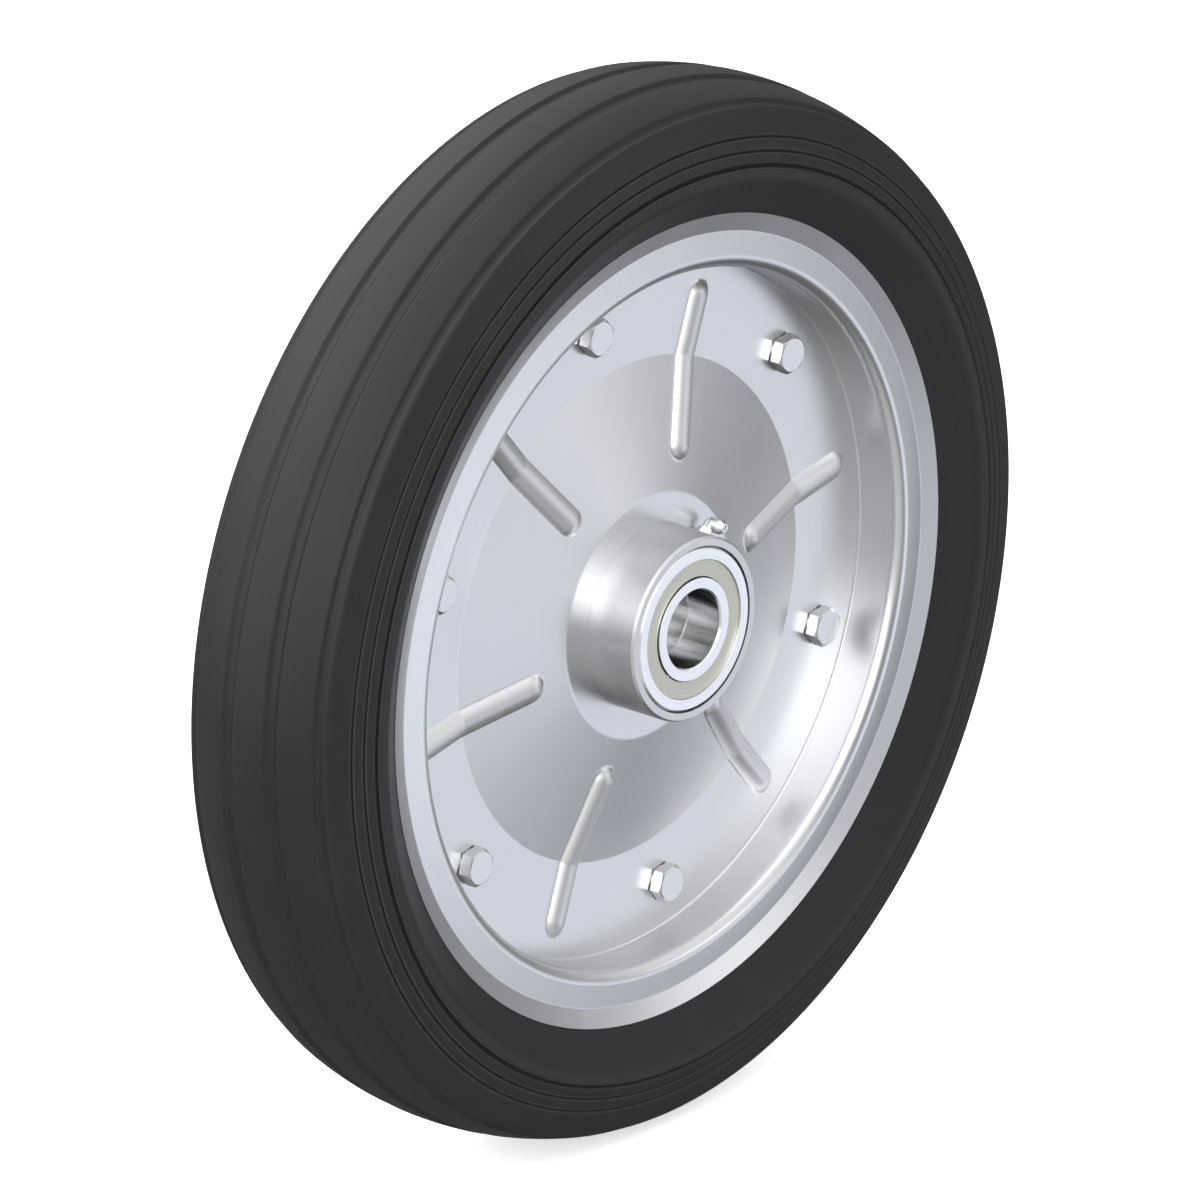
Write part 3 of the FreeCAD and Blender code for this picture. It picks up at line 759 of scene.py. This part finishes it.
PALE_BLUE = "#EFF3FF"
soft_panels = {
    "disc_panel": (45, -21.5, 8, 21, 0.86, PALE_BLUE),
    "front_panel": (26, -17, 4, 18, 0.8, PALE_BLUE),
    "strip": (36, 8, 4, 14, 1.42, WHITE),
    "right_glow": (70, -27, 4, 13, 0.52, PALE_BLUE),
    "key_panel": (-46, 26, 10, 32, 2.5, WHITE),
    "key_side": (-74, 20, 8, 28, 1.4, WHITE),
    "left_fill": (-35, -32, 10, 42, 0.5, WHITE),
    "left_low": (-75, -18, 8, 30, 0.25, WHITE),
    "left_wall": (-125, 25, 14, 48, 2.3, WHITE),
    "ceiling": (40, 55, 20, 65, 0.66, WHITE),
    "rear_right": (128, 24, 8, 26, 0.2, WHITE),
    "rear_panel": (165, 30, 14, 44, 0.8, WHITE),
    "rear_high": (-175, 48, 10, 40, 1.9, WHITE),
    "rear_low": (175, -22, 6, 24, 0.34, WHITE),
}
print("the studio has", len(soft_panels), "soft panels")

# %% [markdown]
# The panels are added up on the world's background, over a faint glow that grows from the floor upwards.
# For each panel, the dot product with its direction says how near a point of the dome is to its middle, and
# a smooth step between the cosines of its edge and its core gives the soft round glow.

# %% Studio dome
GLOW_LOW, GLOW_HIGH, GLOW_LEVEL = 0.145, 0.34, 0.6
world = bpy.data.worlds.new("studio")
world.use_nodes = True
direction = add_node(world, "ShaderNodeTexCoord").outputs["Generated"]
level = add_node(world, "ShaderNodeSeparateXYZ", {"Vector": direction}).outputs["Z"]
light = add_node(
    world, "ShaderNodeMapRange",
    {"Value": level, "From Min": -GLOW_LEVEL, "From Max": GLOW_LEVEL,
     "To Min": GLOW_LOW, "To Max": GLOW_HIGH}).outputs["Result"]
for azimuth, elevation, core, edge, strength, tint in soft_panels.values():
    near = add_node(
        world, "ShaderNodeVectorMath",
        {0: direction, 1: towards(azimuth, elevation)}, operation="DOT_PRODUCT").outputs["Value"]
    edge_cosine = math.cos(math.radians(edge))
    core_cosine = math.cos(math.radians(core))
    panel = add_node(
        world, "ShaderNodeMapRange",
        {"Value": near, "From Min": edge_cosine, "From Max": core_cosine, "To Max": strength},
        interpolation_type="SMOOTHSTEP").outputs["Result"]
    shine = add_node(
        world, "ShaderNodeVectorMath",
        {0: linear(tint)[:3], "Scale": panel}, operation="SCALE").outputs["Vector"]
    light = add_node(world, "ShaderNodeVectorMath", {0: light, 1: shine}).outputs["Vector"]
world.node_tree.links.new(light, world.node_tree.nodes["Background"].inputs["Color"])
bpy.context.scene.world = world
bpy.context.scene.view_settings.view_transform = "Standard"
print("the dome has", len(world.node_tree.nodes), "nodes")

# %% [markdown]
# One large softbox overhead adds the broad sheen on top of the tyre and a soft shadow on the paper.
# It is a square area light that looks at the wheel's centre.

# %% Softbox
SOFTBOX_SIZE, SOFTBOX_POWER = 2.5, 16
softbox_place = Vector((-0.6, -0.5, 2.2))
lamp = bpy.data.lights.new("overhead_softbox", "AREA")
lamp.size = SOFTBOX_SIZE
lamp.energy = SOFTBOX_POWER
softbox = bpy.data.objects.new("overhead_softbox", lamp)
softbox.location = softbox_place
softbox.rotation_euler = (-softbox_place).to_track_quat("-Z", "Y").to_euler()
bpy.context.scene.collection.objects.link(softbox)
print("the softbox is", SOFTBOX_SIZE, "m wide")

# %% [markdown]
# A long lens far away keeps the wheel free of perspective, so an orthographic camera does the same.
# It looks down on the front from the left.

# %% Camera
VIEW_WIDTH = 0.438
CAMERA_AZIMUTH, CAMERA_ELEVATION, CAMERA_DISTANCE = -49.8, 21.8, 2.0
viewpoint = towards(CAMERA_AZIMUTH, CAMERA_ELEVATION)
camera_data = bpy.data.cameras.new("camera")
camera_data.type = "ORTHO"
camera_data.ortho_scale = VIEW_WIDTH
camera = bpy.data.objects.new("camera", camera_data)
camera.location = viewpoint * CAMERA_DISTANCE
camera.rotation_euler = viewpoint.to_track_quat("Z", "Y").to_euler()
bpy.context.scene.collection.objects.link(camera)
bpy.context.scene.camera = camera
print("camera at", [round(value, 3) for value in camera.location])
